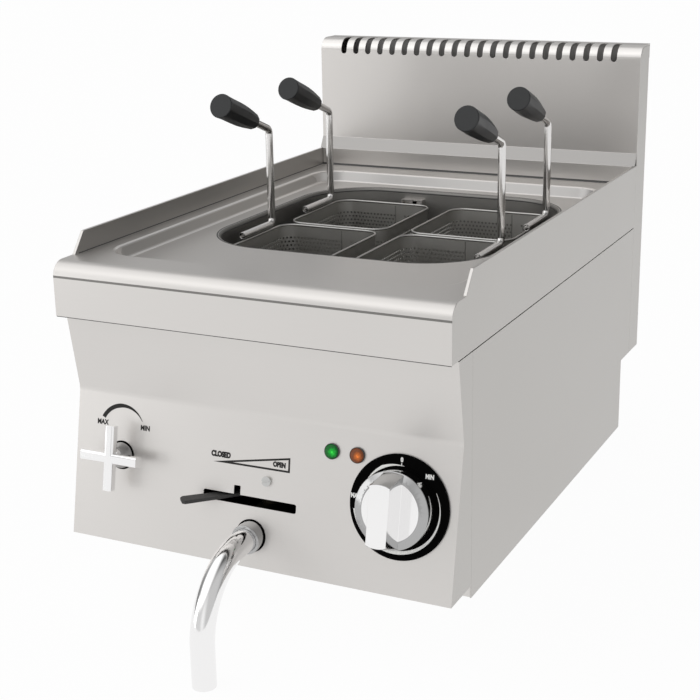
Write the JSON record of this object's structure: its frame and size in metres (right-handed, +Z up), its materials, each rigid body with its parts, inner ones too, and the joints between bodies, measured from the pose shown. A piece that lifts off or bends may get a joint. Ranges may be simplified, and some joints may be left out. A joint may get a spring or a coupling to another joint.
{
  "type": "pasta cooker",
  "caption": "Countertop electric pasta cooker with lift-out baskets, a fill tap, a heat knob, a lever drain with a bent spout, and a vented splashback",
  "frame": {"origin": "middle of the base pan's flat underside, in plan the middle of the 400 x 600 mm body", "axes": "+X to the right as seen from the front, +Y to the splashback at the back, +Z up; rest pose has the baskets down, the knob at 0, the tap shut and the drain lever at closed"},
  "size_m": [0.4, 0.6973, 0.505],
  "materials": {
    "satin_steel": "fine satin grain",
    "tank_steel": "dull satin",
    "basket_steel": "perforated sheet, dull satin",
    "polished_steel": "polished",
    "chrome_fittings": "mirror polished",
    "black_grip": "moulded, slightly matt",
    "black_bezel": "gloss, with printed white marks",
    "brass_fittings": "turned",
    "copper_line": "drawn copper",
    "green_lens": "clear, lit from behind",
    "orange_lens": "clear, lit from behind",
    "dark_plastic": "moulded",
    "pale_plastic": "moulded",
    "plain_steel": "plain"
  },
  "bodies": {
    "chassis": {"worktop": "satin_steel", "splashback": "satin_steel", "flue_shell": "satin_steel", "flue_back": "satin_steel", "side_panel_left": "satin_steel", "side_panel_right": "satin_steel", "front_panel": "satin_steel", "base_pan": "satin_steel", "rear_panel": "satin_steel", "tank": "tank_steel", "basket_rest": "tank_steel", "heating_flange": "tank_steel", "fill_spout": "tank_steel", "drain_pipe": "tank_steel", "tap_bonnet": "chrome_fittings", "drain_collar": "chrome_fittings", "drain_spout": "chrome_fittings", "knob_bezel": "black_bezel", "tap_body": "brass_fittings", "water_inlet": "brass_fittings", "valve_body": "brass_fittings", "earth_stud": "brass_fittings", "supply_pipe": "copper_line", "fill_pipe": "copper_line", "sensing_bulb": "copper_line", "capillary": "copper_line", "lamp_green": "green_lens", "lamp_orange": "orange_lens", "control_case": "dark_plastic", "lamp_holders": "dark_plastic", "cable_gland": "dark_plastic", "terminal_block": "pale_plastic", "back_screws": "plain_steel", "panel_screw": "plain_steel", "heating_tubes": "plain_steel"},
    "tap": {"tap_spindle": "plain_steel", "tap_handle": "chrome_fittings"},
    "knob": {"control_knob": "chrome_fittings", "control_shaft": "plain_steel"},
    "drain": {"valve_ball": "plain_steel", "drain_lever": "plain_steel", "lever_grip": "black_grip"},
    "basket_front_left": {"basket_front_left": "basket_steel", "basket_front_left_rod": "polished_steel", "basket_front_left_grip": "black_grip"},
    "basket_front_right": {"basket_front_right": "basket_steel", "basket_front_right_rod": "polished_steel", "basket_front_right_grip": "black_grip"},
    "basket_rear_left": {"basket_rear_left": "basket_steel", "basket_rear_left_rod": "polished_steel", "basket_rear_left_grip": "black_grip"},
    "basket_rear_right": {"basket_rear_right": "basket_steel", "basket_rear_right_rod": "polished_steel", "basket_rear_right_grip": "black_grip"}
  },
  "joints": [
    {"name": "tap_turn", "type": "hinge", "parent": "chassis", "child": "tap", "pos_m": [-0.148, -0.28328, 0.096], "axis": [0, -0.9804, 0.1968], "range_deg": [0, 90]},
    {"name": "knob_turn", "type": "hinge", "parent": "chassis", "child": "knob", "pos_m": [0.1446, -0.284, 0.0924], "axis": [0, 0.9804, -0.1968], "range_deg": [0, 270]},
    {"name": "drain_turn", "type": "hinge", "parent": "chassis", "child": "drain", "pos_m": [-0.002, -0.253, 0.0738], "axis": [0, 0, 1], "range_deg": [0, 90]},
    {"name": "basket_front_left_lift", "type": "slide", "parent": "chassis", "child": "basket_front_left", "axis": [0, 0, 1], "range_m": [0, 0.18]},
    {"name": "basket_front_right_lift", "type": "slide", "parent": "chassis", "child": "basket_front_right", "axis": [0, 0, 1], "range_m": [0, 0.18]},
    {"name": "basket_rear_left_lift", "type": "slide", "parent": "chassis", "child": "basket_rear_left", "axis": [0, 0, 1], "range_m": [0, 0.18]},
    {"name": "basket_rear_right_lift", "type": "slide", "parent": "chassis", "child": "basket_rear_right", "axis": [0, 0, 1], "range_m": [0, 0.18]}
  ]
}
